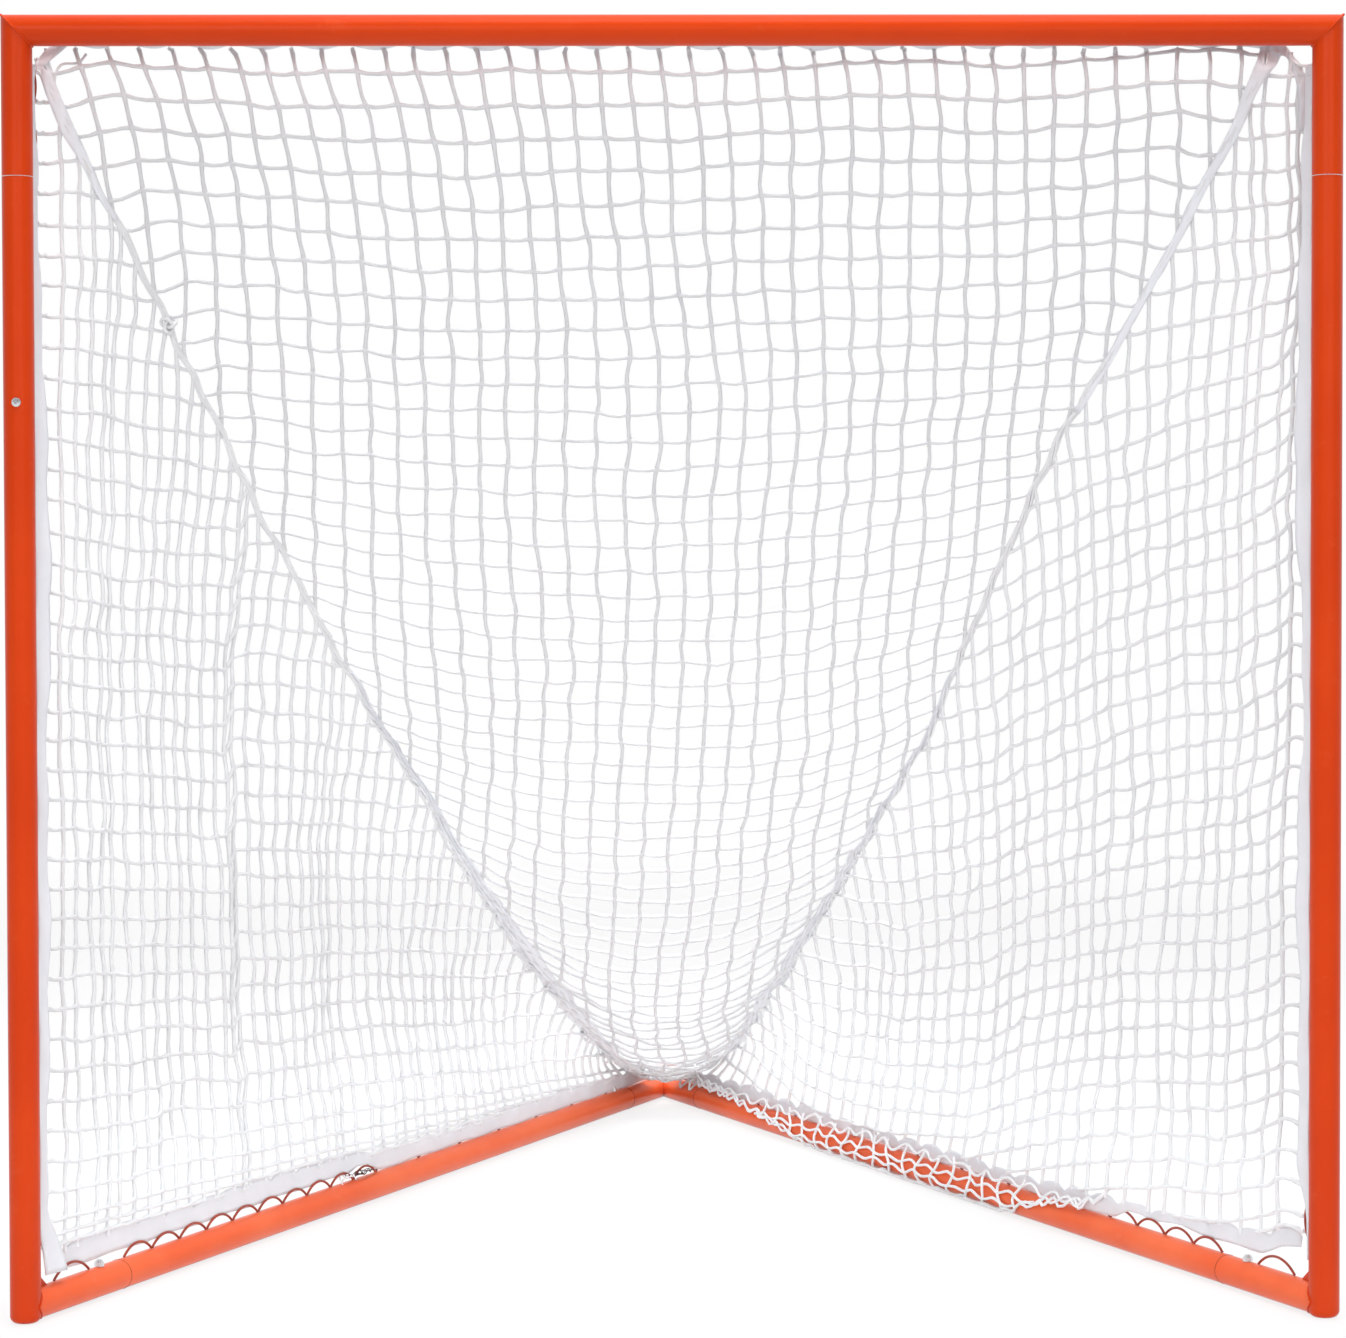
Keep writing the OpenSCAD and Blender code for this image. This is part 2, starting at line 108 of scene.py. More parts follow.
def eased(x, points):
    """The value at x on a smooth curve through the points."""
    last = len(points) - 1
    k = max([0] + [n for n in range(last) if points[n][0] <= x])
    (x0, y0), (x1, y1) = points[k], points[k + 1]

    def slope(n):
        low, high = points[max(n - 1, 0)], points[min(n + 1, last)]
        return (high[1] - low[1]) / (high[0] - low[0]) * (x1 - x0)

    u = min(max((x - x0) / (x1 - x0), 0.0), 1.0)
    start, end = y0 * (1 + 2 * u) + slope(k) * u, y1 * (3 - 2 * u) - slope(k + 1) * (1 - u)
    return start * (1 - u) ** 2 + end * u * u


def smooth_path(points, steps=8):
    """Points on a smooth line through the given ones."""
    found = []
    spare = [points[0] * 2 - points[1], *points, points[-1] * 2 - points[-2]]
    for a, b, c, d in zip(spare, spare[1:], spare[2:], spare[3:]):
        for k in range(steps):
            u = k / steps
            found.append(((b * 2) + (c - a) * u + (a * 2 - b * 5 + c * 4 - d) * u ** 2
                          + (b * 3 - a - c * 3 + d) * u ** 3) * 0.5)
    found.append(points[-1])
    return found


# ---------------------------------------------------------------- camera
def place_camera():
    """A camera 5 m in front of the mouth, which looks a little down and to the right."""
    yaw, pitch, roll = (math.radians(a) for a in (-0.660, 1.565, -0.120))
    ahead = Vector((-math.sin(yaw) * math.cos(pitch), math.cos(yaw) * math.cos(pitch), -math.sin(pitch)))
    right = Vector((math.cos(yaw), math.sin(yaw), 0))
    up = right.cross(ahead)
    turned_right = right * math.cos(roll) + up * math.sin(roll)
    turned_up = up * math.cos(roll) - right * math.sin(roll)
    data = bpy.data.cameras.new("camera")
    data.lens = 92.11
    data.sensor_width = 36
    camera = bpy.data.objects.new("camera", data)
    bpy.context.collection.objects.link(camera)
    turn = Matrix((turned_right, turned_up, -ahead)).transposed().to_4x4()
    camera.matrix_world = Matrix.Translation(spot(-0.0596, -4.941, 1.0735)) @ turn
    bpy.context.scene.camera = camera


place_camera()


# ---------------------------------------------------------------- shader maths and materials
class Value:
    """A socket of a node tree; sums on it add Math nodes."""

    def __init__(self, nodes, socket):
        self.nodes = nodes
        self.socket = socket

    def __add__(self, other):
        return self.nodes.maths("ADD", self, other)

    def __radd__(self, other):
        return self.nodes.maths("ADD", other, self)

    def __rsub__(self, other):
        return self.nodes.maths("SUBTRACT", other, self)

    def __mul__(self, other):
        return self.nodes.maths("MULTIPLY", self, other)

    def clipped(self, low, high):
        """0 below low, 1 above high, and a soft step between them."""
        values = {"Value": self, "From Min": low, "From Max": high}
        return self.nodes.node("ShaderNodeMapRange", values, interpolation_type="SMOOTHSTEP")


class Nodes:
    """A node tree that nodes are added to."""

    def __init__(self, tree):
        self.tree = tree

    def node(self, kind, values=None, out=0, **settings):
        """Adds a node with its inputs and settings, and gives one of its outputs."""
        node = self.tree.nodes.new(kind)
        for key, setting in settings.items():
            setattr(node, key, setting)
        for key, value in (values or {}).items():
            self.feed(node.inputs[key], value)
        return Value(self, node.outputs[out])

    def feed(self, target, value):
        if isinstance(value, Value):
            self.tree.links.new(value.socket, target)
        else:
            target.default_value = value

    def maths(self, operation, *terms):
        return self.node("ShaderNodeMath", dict(enumerate(terms)), operation=operation)

    def rays(self, *kinds):
        """For each kind of ray, 1 on such rays and 0 on others."""
        path = self.tree.nodes.new("ShaderNodeLightPath")
        return [Value(self, path.outputs[f"Is {kind} Ray"]) for kind in kinds]

    def place(self, kind="Object"):
        return self.node("ShaderNodeTexCoord", out=kind)

    def noise(self, place, scale, detail=2.0, roughness=0.5):
        values = {"Vector": place, "Scale": scale, "Detail": detail, "Roughness": roughness}
        return self.node("ShaderNodeTexNoise", values)

    def wave(self, place, scale, distortion=0.0, direction="X"):
        return self.node("ShaderNodeTexWave", {"Vector": place, "Scale": scale, "Distortion": distortion},
                         wave_type="BANDS", bands_direction=direction, wave_profile="SIN")

    def turned(self, place, angles):
        return self.node("ShaderNodeMapping", {"Vector": place, "Rotation": angles})

    def mixed(self, share, one, other):
        """A colour between two others."""
        return self.node("ShaderNodeMix", {"Factor": share, 6: one, 7: other}, out=2, data_type="RGBA")

    def bump(self, height, strength, distance):
        return self.node("ShaderNodeBump", {"Height": height, "Strength": strength, "Distance": distance})


class Finish(Nodes):
    """A node material with one Principled BSDF."""

    def __init__(self, name):
        self.material = bpy.data.materials.new(name)
        self.material.use_nodes = True
        super().__init__(self.material.node_tree)
        self.shader = self.tree.nodes["Principled BSDF"]

    def wear(self, **sockets):
        """Sets the shader's sockets; an underscore stands for a blank."""
        for key, value in sockets.items():
            self.feed(self.shader.inputs[key.replace("_", " ")], value)
        return self.material


def powder_coat(name, deep, pale, scuffed):
    """Bright orange powder coat: fine orange peel, faint clouds in the colour, and dull rubbed places."""
    f = Finish(name)
    here = f.place()
    clouds = f.noise(here, 5.0, 3.0)
    peel = f.noise(here, 420.0, 2.0)
    grain = f.noise(here, 1500.0, 1.0)
    rubbed = f.noise(here, 26.0, 5.0, 0.65).clipped(0.60, 0.74)
    body = f.mixed(clouds.clipped(0.3, 0.7), deep, pale)
    colour = f.mixed(rubbed * 0.35, body, scuffed)
    surface = f.bump(peel * 0.8 + grain * 0.2, 0.14, 0.0006)
    return f.wear(Base_Color=colour, Roughness=0.27 + rubbed * 0.16 + peel * 0.06, Normal=surface,
                  Specular_IOR_Level=0.20)


def rod_paint():
    """The frame's orange paint on the bent lacing rods, made darker as painted shade, and rubbed by the net's
    cords.
    """
    f = Finish("rod_paint_with_painted_shade")
    rubbed = f.noise(f.place(), 60.0, 4.0, 0.6).clipped(0.50, 0.70)
    colour = f.mixed(rubbed, (0.30, 0.030, 0.008, 1), (0.44, 0.065, 0.020, 1))
    return f.wear(Base_Color=colour, Roughness=0.28 + rubbed * 0.2, Normal=f.bump(rubbed, 0.15, 0.0004),
                  Specular_IOR_Level=0.55)


def bare_steel():
    """Drawn steel without paint, a little cloudy."""
    f = Finish("bare_drawn_steel")
    drawn = f.noise(f.place(), 180.0, 4.0)
    colour = f.mixed(drawn, (0.30, 0.30, 0.31, 1), (0.50, 0.50, 0.51, 1))
    return f.wear(Base_Color=colour, Metallic=1.0, Roughness=0.34 + drawn * 0.18,
                  Normal=f.bump(drawn, 0.2, 0.0004))


def zinc():
    """Zinc plate with fine crystals."""
    f = Finish("bright_zinc")
    spangle = f.node("ShaderNodeTexVoronoi", {"Vector": f.place(), "Scale": 700.0}, feature="F1")
    colour = f.mixed(spangle, (0.62, 0.63, 0.65, 1), (0.80, 0.81, 0.82, 1))
    return f.wear(Base_Color=colour, Metallic=1.0, Roughness=0.22 + spangle * 0.14,
                  Normal=f.bump(spangle, 0.1, 0.0002))


def braided_cord(name, pale, deep, lit_near_ground=None):
    """Braided cord: slanting strands, a little fuzz, painted shade in the braid's grooves, patches of soil, and
    if asked for, paler near the ground as painted light from the floor.
    """
    f = Finish(name)
    here = f.place()
    one = f.wave(f.turned(here, (0.6, 0.75, 0.8)), 260.0, 2.0)
    other = f.wave(f.turned(here, (-0.7, -0.8, 0.6)), 240.0, 2.0)
    fuzz = f.noise(here, 900.0, 3.0)
    soil = f.noise(here, 9.0, 3.0)
    braid = one * other
    # darker where the braid's bump dips: painted shade in the grooves
    colour = f.mixed(braid.clipped(0.02, 0.45) * 0.7 + fuzz * 0.3, deep, pale)
    colour = f.mixed(soil.clipped(0.45, 0.75) * 0.35, colour, deep)
    if lit_near_ground:
        # paler below about 0.36 m: painted light from the white floor
        height = f.node("ShaderNodeSeparateXYZ", {0: here}, out="Z")
        colour = f.mixed((1 - height.clipped(0.15, 0.36)) * 0.85, colour, lit_near_ground)
    surface = f.bump(braid * 0.7 + fuzz * 0.3, 0.45, 0.0008)
    return f.wear(Base_Color=colour, Roughness=0.78 + fuzz * 0.15, Normal=surface, Sheen_Weight=0.15,
                  Specular_IOR_Level=0.25)


def woven_tape():
    """White woven tape: fine rows of weave along and across it, with soft creases; its colour is darker in the
    hollows of the weave and the creases, as painted shade.
    """
    f = Finish("white_woven_tape")
    flat = f.place("UV")
    warp = f.wave(flat, 300.0, 0.3, "X")
    weft = f.wave(flat, 260.0, 0.3, "Y")
    crease = f.noise(f.place(), 38.0, 4.0)
    weave = warp * 0.5 + weft * 0.5
    # darker where the weave and creases dip: painted shade
    colour = f.mixed(weave * 0.5 + crease * 0.5, (0.76, 0.775, 0.82, 1), (0.90, 0.915, 0.95, 1))
    surface = f.bump(weave * 0.35 + crease * 0.65, 0.4, 0.0022)
    return f.wear(Base_Color=colour, Roughness=0.80 + crease * 0.12, Normal=surface, Sheen_Weight=0.2,
                  Specular_IOR_Level=0.25)


paint = powder_coat("orange_powder_coat", (0.585, 0.041, 0.001, 1), (0.63, 0.049, 0.002, 1),
                    (0.66, 0.080, 0.020, 1))
# a paler copy of the orange coat for the base tubes: painted light and reflection from the white floor and
# surroundings; its rubbed places are still wear
lit_base_paint = powder_coat("paler_powder_coat_painted_light", (0.80, 0.110, 0.026, 1), (0.86, 0.150, 0.048, 1),
                         (0.84, 0.210, 0.110, 1))
rods = rod_paint()
steel = bare_steel()
plated = zinc()
cord_white = braided_cord("white_braided_cord", (0.90, 0.90, 0.91, 1), (0.69, 0.69, 0.71, 1),
                          (0.90, 0.92, 0.94, 1))
# a darker copy of the same white cord, for the top panel: painted shade
shaded_cord = braided_cord("braided_cord_darkened_as_shade", (0.86, 0.86, 0.87, 1), (0.60, 0.60, 0.62, 1))
# near-black red cord that paints the shadow among the tied-off lacing's loops
shadow_cord = braided_cord("dark_cord_as_painted_shadow", (0.13, 0.045, 0.035, 1), (0.04, 0.015, 0.012, 1))
tape_white = woven_tape()


def dress_frame():
    """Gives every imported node, which keeps its place, the node material for its slot."""
    looks = {"frame_paint": paint, "bare_steel": steel, "zinc": plated, "net_cord": cord_white,
             "webbing": tape_white}
    for part in frame["record"]["subparts"]:
        mesh = frame["nodes"][part["node"]].data
        look = looks[part["material_slot"]]
        # the lacing rods take the darker copy of the orange paint: painted shade
        if part["node"].startswith("rod_"):
            look = rods
        # the base tubes take the paler copy of the orange coat: painted light
        if part["node"].startswith(("front_base", "base_side", "rear_corner")):
            look = lit_base_paint
        if not mesh.materials:
            mesh.materials.append(None)
        for index in range(len(mesh.materials)):
            mesh.materials[index] = look


dress_frame()


# ---------------------------------------------------------------- making pieces
def finish_piece(piece, material, *nodes):
    """Gives a new piece its material, body and slot, and hides the plain solids that it stands for."""
    mesh = piece.data
    mesh.materials.clear()
    mesh.materials.append(material)
    mesh.polygons.foreach_set("use_smooth", [True] * len(mesh.polygons))
    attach(piece, "root")
    if nodes:
        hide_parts(*nodes)


CORD = 0.0061              # thickness of the netting's cords


def even(points):
    """The points of a cord that has its full thickness all along."""
    return [(point, 1.0) for point in points]


def cords(name, lines, material, nodes=(), thick=CORD):
    """Round cords along lines of points, each point with its own share of the thickness."""
    data = bpy.data.curves.new(name + "_line", "CURVE")
    data.dimensions = "3D"
    data.bevel_depth = thick / 2
    data.bevel_resolution = 1
    data.use_fill_caps = True
    for line in lines:
        spline = data.splines.new("POLY")
        spline.points.add(len(line) - 1)
        spline.points.foreach_set("co", [c for point, share in line for c in (*point, 1.0)])
        spline.points.foreach_set("radius", [share for point, share in line])
    holder = bpy.data.objects.new(name + "_line", data)
    bpy.context.collection.objects.link(holder)
    bpy.context.view_layer.update()
    mesh = bpy.data.meshes.new_from_object(holder.evaluated_get(bpy.context.evaluated_depsgraph_get()))
    bpy.data.objects.remove(holder)
    mesh.name = name
    piece = bpy.data.objects.new(name, mesh)
    bpy.context.collection.objects.link(piece)
    finish_piece(piece, material, *nodes)


def strip(name, shape, long_steps, wide_steps, size, nodes=(), thick=0.0016):
    """A woven strip: shape gives the point at a share of its length and a share of its width."""
    bm = bmesh.new()
    uv = bm.loops.layers.uv.new("UVMap")
    bmesh.ops.create_grid(bm, x_segments=long_steps, y_segments=wide_steps, size=0.5, calc_uvs=True)
    shares = {v: (v.co.x + 0.5, v.co.y + 0.5) for v in bm.verts}
    for face in bm.faces:
        for loop in face.loops:
            along, across = shares[loop.vert]
            loop[uv].uv = (along * size[1], across * size[0])
    for v, (along, across) in shares.items():
        v.co = shape(along, across)
    bmesh.ops.recalc_face_normals(bm, faces=bm.faces)
    mesh = bpy.data.meshes.new(name)
    bm.to_mesh(mesh)
    bm.free()
    piece = bpy.data.objects.new(name, mesh)
    bpy.context.collection.objects.link(piece)
    solid = piece.modifiers.new("thickness", "SOLIDIFY")
    solid.thickness = thick
    solid.offset = 0.0
    finish_piece(piece, tape_white, *nodes)


# ---------------------------------------------------------------- the shape of the hanging net
MESH = 0.0441              # width of a square of the netting
SAG = 0.0022               # how far a row's cord hangs down between two knots
T_END = 0.965              # the share of the top panel at which its cords end, short of the rear corner
SLOW_SWING, FINE_SWING = 0.013, 0.0065       # reach of the netting's slack, over many squares and within one
HEM_GAP = 0.003            # how near a row of a side panel comes to the panel's edges


def bag_curve(t):
    """Distance behind the posts and height of the net's top panel, t from the crossbar to the rear corner."""
    near = max(1 - t / 0.06, 0.0) ** 2
    return 0.030 + 2.070 * t ** 1.38 + 0.033 * near, 0.075 + 1.740 * (1 - t) ** 1.42 + 0.0165 * near


def bag_middle(t):
    """The net hangs a little to the left of the middle."""
    return eased(t, [(0, -0.030), (0.13, -0.039), (0.27, -0.045), (0.425, -0.027), (0.63, -0.012),
                     (0.8, -0.002), (0.93, 0.004), (1, -0.012)])


def bag_half(t):
    """Half the top panel's width, from seam to seam."""
    return eased(t, [(0, 0.885), (0.02, 0.865), (0.13, 0.741), (0.27, 0.599), (0.425, 0.472), (0.63, 0.296),
                     (0.80, 0.184), (0.93, 0.110), (1, 0.088)])


def bag_sag(t):
    """How far the middle of the top panel hangs down."""
    return between(t, [(0, 0), (0.1, 0.012), (0.3, 0.045), (0.5, 0.085), (0.7, 0.088), (0.85, 0.060),
                       (1, 0.030)])


def drift(t, x):
    """How far the top panel's columns lean to the right of straight, less on the panel's right."""
    share = between(x, [(-0.9, 0.35), (-0.42, 0.85), (0, 0.90), (0.28, 0.55), (0.55, 0.2), (0.9, 0.1)])
    lean = eased(t, [(0, 0), (0.06, 0.026), (0.11, 0.039), (0.16, 0.043), (0.26, 0.043), (0.36, 0.040),
                     (0.45, 0.034), (0.53, 0.024), (0.62, 0.012), (0.70, 0.007), (0.78, 0.008), (0.86, 0.018),
                     (1.0, 0.045)])
    far_left = between(x, [(-0.55, 1), (-0.2, 0)])
    early_lean = eased(t, [(0, 0), (0.02, 0.012), (0.04, 0.020), (0.06, 0.0235), (0.09, 0.026), (0.13, 0.026),
                           (0.16, 0.022), (0.30, 0.010), (0.45, 0), (1, 0)])
    return far_left * early_lean + share * lean


def loosened(point, amount=1.0):
    """The net's slack: a slow swing over several squares and a small one within each."""
    slow = noise.noise_vector(point * 3.1)
    fine = noise.noise_vector(point * 17.0 + Vector((3.0, 1.0, 2.0)))
    return point + (slow * SLOW_SWING + fine * FINE_SWING) * amount


def top_point(t, x):
    """A point of the top panel from its share of the length and its distance to the right."""
    back, z = bag_curve(t)
    share = (x - bag_middle(t)) / bag_half(t)
    hang = bag_sag(t) * max(1 - share * share, 0.0)
    return spot(x, back + hang * 0.35, z - hang)


def row_place(t, x):
    """Where a row lies: it climbs to the right and towards both seams, but less at its ends high up."""
    share = min(abs(x - bag_middle(t)) / bag_half(t), 1.1)
    pulled_down = 0.009 * soft_step(share, 0.90, 1.0) * (1 - soft_step(t, 0.12, 0.30))
    return max(t - 0.0058 * x - 0.009 * share ** 4 + pulled_down, 0.0)


def row_end(side, t):
    """Where a row meets the seam on one side."""
    x = bag_middle(t) + side * bag_half(t)
    for _ in range(12):
        place = row_place(t, x)
        x = (x + bag_middle(place) + side * bag_half(place)) / 2
    return x


def seam_point(side, t):
    """A point of the seam between the top panel and a side panel."""
    return top_point(t, bag_middle(t) + side * bag_half(t))


def even_steps(curve, low, high, pitch, gone):
    """Where the curve has gone on by one more pitch each time, with some of the first gone already."""
    found, last = [], curve(low)
    fine = 4000
    for k in range(1, fine + 1):
        t = low + (high - low) * k / fine
        here = curve(t)
        gone += (here - last).length
        last = here
        if gone >= pitch:
            gone -= pitch
            found.append(t)
    return found


def last_free(is_free, free, beyond, rounds):
    """The furthest place from free towards beyond that is still free, found by halving."""
    for _ in range(rounds):
        middle = (free + beyond) / 2
        if is_free(middle):
            free = middle
        else:
            beyond = middle
    return free


def run(point_at, stops, sag=0.0, slack_at=lambda stop: 1.0):
    """A cord through its knots, which may hang a little between them and is thicker at each."""
    pieces, knot = 3, 1.28
    line = []
    for a, b in zip(stops, stops[1:]):
        for k in range(pieces):
            share = k / pieces
            place = a + (b - a) * share
            point = loosened(point_at(place), slack_at(place))
            point.z -= sag * 4 * share * (1 - share)
            line.append((point, knot if k == 0 else 1.0))
    line.append((loosened(point_at(stops[-1]), slack_at(stops[-1])), knot))
    return line


def top_net():
    """The top panel: rows from seam to seam, and columns from the crossbar to a seam or the rear corner."""
    row_pitch, first_row, count, clear = 0.0487, 0.022, 41, 0.004
    rows = even_steps(lambda t: top_point(t, bag_middle(t)), 0.0, T_END, row_pitch, first_row)
    columns = [(k - count / 2) * MESH for k in range(count + 1)]
    lines = []
    for t in rows:
        low, high = row_end(LEFT, t), row_end(RIGHT, t)
        crossed = [x + drift(t, x) for x in columns]
        stops = [low, *(x for x in crossed if low + clear < x < high - clear), high]
        lines.append(run(lambda x: top_point(row_place(t, x), x), stops, SAG))

    for x0 in columns:
        def is_free(t):
            return abs(x0 + drift(t, x0) - bag_middle(t)) <= bag_half(t)

        crossed = list(itertools.takewhile(is_free, [0.0, *rows]))
        stops = [row_place(t, x0 + drift(t, x0)) for t in crossed]
        if not stops:
            continue
        if len(stops) > len(rows):
            stops.append(T_END)
        else:
            end = last_free(is_free, stops[-1], rows[len(stops) - 1], 14)
            if end > stops[-1] + 1e-4:
                stops.append(end)
        line = run(lambda t: top_point(t, x0 + drift(t, x0)), stops)
        lines.append([(spot(x0, 0.055, 1.8345), 1.0), *line])
    cords("netting_top", lines, shaded_cord, ["net_top"])


# ---------------------------------------------------------------- the base tapes' edges and the side panels
BESIDE = 0.0023                              # how far beside a tube's axis a tape lies
NET_FRONT, NET_REAR = 0.0591, 2.0716         # the side panels' reach behind the posts' line
BASE_TAPE_START, BASE_TAPE = 0.062, 2.200    # start and length of the base tapes
HIDES_RODS = {LEFT: 0.435, RIGHT: 0.205}     # the share of the tape from which it lies inside the lacing rods


def wavy_edges(length, near, far, scallop):
    """Edges of a tape that is drawn in at each arch of the lacing rod."""
    def edges(along):
        turn = 2 * math.pi * along * length / ARCH
        loose = noise.noise(Vector((along * length * 7.0, length, 0.3)))
        slow = noise.noise(Vector((along * length * 2.6, 5.0, length)))
        inner = between(along, near) + 0.0012 * math.sin(turn * 0.5 + 1.0)
        notch = scallop * (1 - abs(math.sin(turn / 2))) ** 2
        return inner, between(along, far) - notch + 0.0035 * loose + 0.0035 * slow
    return edges


def base_tape_edges(side):
    """The heights of a base tape's edges above the tube's axis."""
    turn = HIDES_RODS[side]
    if side == RIGHT:
        near = [(0, 0.066), (0.022, 0.059), (0.045, 0.041), (0.107, 0.039), (0.143, 0.044), (0.18, 0.038)]
        far = [(0, 0.092), (0.022, 0.089), (0.045, 0.074), (0.107, 0.067), (0.143, 0.063), (0.18, 0.058),
               (turn + 0.03, 0.058), (0.33, 0.050), (0.75, 0.049), (0.84, 0.055), (1, 0.056)]
    else:
        near = [(0, 0.040), (0.02, 0.0355), (turn - 0.02, 0.0355)]
        far = [(0, 0.046), (0.012, 0.060), (0.035, 0.076), (turn - 0.03, 0.072), (turn + 0.03, 0.058),
               (1, 0.056)]
    near += [(turn - 0.006, 0.0425), (turn + 0.006, 0.0425), (turn + 0.025, 0.0248), (1, 0.0242)]
    return wavy_edges(BASE_TAPE, near, far, 0.0105)


base_edges = {side: base_tape_edges(side) for side in (LEFT, RIGHT)}


def base_offset(side, along, across):
    """How far outside the tube's axis the base tape lies."""
    turn = HIDES_RODS[side]
    away = BESIDE + 0.0018 * (1 + math.sin(2 * math.pi * along * BASE_TAPE / ARCH + 0.8)) * across
    return away * (1 - 2 * soft_step(along, turn - 0.006, turn + 0.006))


def base_edge(side, s):
    """The height of the base tape's upper edge and its way outwards, at a share of the side panel's depth."""
    back = NET_FRONT + (NET_REAR - NET_FRONT) * s
    along = min(max((back / math.cos(SIDE_ANGLE) - BASE_TAPE_START) / BASE_TAPE, 0.0), 1.0)
    return TUBE_R + base_edges[side](along)[1], base_offset(side, along, 1.0)


# Shares of the base and of the seam that a side panel's columns join.
MEETS = {
    LEFT: [(0, 0.005), (0.018, 0.031), (0.036, 0.052), (0.055, 0.067), (0.073, 0.086), (0.091, 0.100),
           (0.127, 0.137), (0.155, 0.162), (0.26, 0.255), (0.506, 0.48), (0.677, 0.64), (0.83, 0.84),
           (1, T_END)],
    RIGHT: [(0, 0), (0.07, 0.002), (0.105, 0.03), (0.253, 0.165), (0.404, 0.31), (0.554, 0.49), (0.727, 0.68),
            (0.87, 0.85), (1, T_END)],
}
FROM_CORNER = {LEFT: 0.018, RIGHT: 0.07}     # up to here, columns end between the top corner and the seam
AT_POST = -0.008     # the share of the base at which the side panels' rows end, behind the posts' tapes
FOLDS = {            # centre, reach and pull of each fold that draws a side panel's columns in
    LEFT: [(0.080, 0.022, 0.35), (0.262, 0.026, 0.58), (0.40, 0.05, 0.3)],
    RIGHT: [(0.30, 0.05, 0.15), (0.62, 0.06, 0.15)],
}
SQUARES = {LEFT: 55, RIGHT: 42}              # the squares of a side panel's row


def base_point(side, s, z, outwards=0.0):
    """A point above a base tube, at a share of the side panel's depth."""
    back = NET_FRONT + (NET_REAR - NET_FRONT) * s
    return spot(side * (POST_X * (1 - back / CORNER_Y) + outwards), back, z)


def head_point(side, s):
    """Where a side panel's column ends: on the seam, but beside the post at the very front."""
    if side == RIGHT and s < FROM_CORNER[RIGHT]:
        return spot(between(s, [(0, 0.912), (0.024, 0.901), (0.048, 0.886), (0.07, 0.862)]), 0.054,
                    between(s, [(0, 1.775), (0.024, 1.806), (0.048, 1.826), (0.07, 1.834)]))
    corner = spot(side * 0.908, 0.056, 1.806)
    return corner.lerp(seam_point(side, between(s, MEETS[side])), soft_step(s, -0.01, FROM_CORNER[side]))


def side_point(side, s, z):
    """A point of a side panel from its share of the base and its height."""
    if s < 0:
        return side_point(side, 0.0, z).lerp(spot(side * 0.9175, 0.041, z), s / AT_POST)
    edge, outwards = base_edge(side, s)
    foot = base_point(side, s, edge, outwards - 0.006 * soft_step(0.03 - s, 0, 0.03))
    head = head_point(side, s)
    share = (z - foot.z) / max(head.z - foot.z, 0.001)
    point = foot.lerp(head, share)
    belly = 0.030 * math.sin(math.pi * min(max(share, 0), 1)) * math.sin(math.pi * s)
    return point + Vector((side * belly, 0, 0))


def row_drop(side, s, z):
    """How far a side panel's row hangs below its height at the post."""
    if side == LEFT:
        drop = 0.165 * s - 0.028 * soft_step(s, 0.256, 0.272) * soft_step(z, 0.15, 0.45)
    else:
        drop = between(s, [(0, 0), (0.012, -0.004), (0.05, 0.023), (0.10, 0.048), (0.17, 0.064), (0.255, 0.095),
                           (0.37, 0.150), (0.45, 0.200), (0.58, 0.242), (0.68, 0.246), (0.74, 0.232),
                           (0.78, 0.205), (0.86, 0.170), (1, 0.140)])
    high = 1 - 0.8 * soft_step(z, 1.30, 1.75)
    low = soft_step(z, 0.05, 0.26) if side == LEFT else 1.0
    return drop * high * (0.12 + 0.88 * low)


def gathered(s, places):
    """Draws columns in towards the folds of the panel."""
    for centre, reach, pull in places:
        away = s - centre
        s -= pull * away * math.exp(-(away / reach) ** 2)
    return s


def side_net(side, name, node):
    """A side panel: rows from the post to the base and the seam, and columns from the base to the seam."""
    count = SQUARES[side]
    columns = [gathered(k / count, FOLDS[side]) for k in range(count + 1)]
    first_row, row_pitch, rows = 0.088, 0.0437, 39
    heights = [first_row + 0.012, first_row + 0.028]
    heights += [first_row + 0.050 + row_pitch * k for k in range(rows)]
    lines = []

    def level(height, s):
        return height - row_drop(side, s, height)

    def top_of(s):
        return head_point(side, s).z

    def is_free(height, s):
        return base_edge(side, s)[0] - HEM_GAP < level(height, s) < top_of(s) - HEM_GAP

    def slack_over_tape(s, z):
        beside_post = 0.3 + 0.7 * soft_step(s, AT_POST, 0.04)
        return beside_post * (0.15 + 0.85 * soft_step(z - base_edge(side, s)[0], 0.0, 0.09))

    def last_stop(height, free, beyond):
        return last_free(lambda s: is_free(height, s), free, beyond, 12)

    for height in heights:
        stops = []
        for before, s, after in zip([None, *columns], columns, [*columns[1:], None]):
            if not is_free(height, s):
                continue
            if not stops:
                stops.append(AT_POST if before is None else last_stop(height, s, before))
            stops.append(s)
            if after is None or not is_free(height, after):
                if after is not None:
                    stops.append(last_stop(height, s, after))
                lines.append(run(lambda s: side_point(side, s, level(height, s)), stops, SAG,
                                 lambda s: slack_over_tape(s, level(height, s))))
                stops = []
    for s in columns[1:]:
        edge = base_edge(side, s)[0]
        inside = [level(h, s) for h in heights if edge + 0.004 < level(h, s) < top_of(s) - 0.004]
        lines.append(run(lambda z: side_point(side, s, z), [edge - 0.005, *inside, max(top_of(s), edge)],
                         slack_at=lambda z: slack_over_tape(s, z)))
    cords(name, lines, cord_white, [node])


top_net()
side_net(LEFT, "netting_left", "net_left")
side_net(RIGHT, "netting_right", "net_right")


# ---------------------------------------------------------------- seams
def seam_width(side, t):
    """Half the width over which the seam's cords lie side by side."""
    slim = between(t, [(0.04, 1), (0.07, 0.6), (0.30, 0.6), (0.42, 1)]) if side == LEFT else 1.0
    return slim * between(t, [(0, 0.006), (0.05, 0.006), (0.12, 0.0050), (0.42, 0.0045), (0.55, 0.008),
                              (0.8, 0.013), (1, 0.014)])


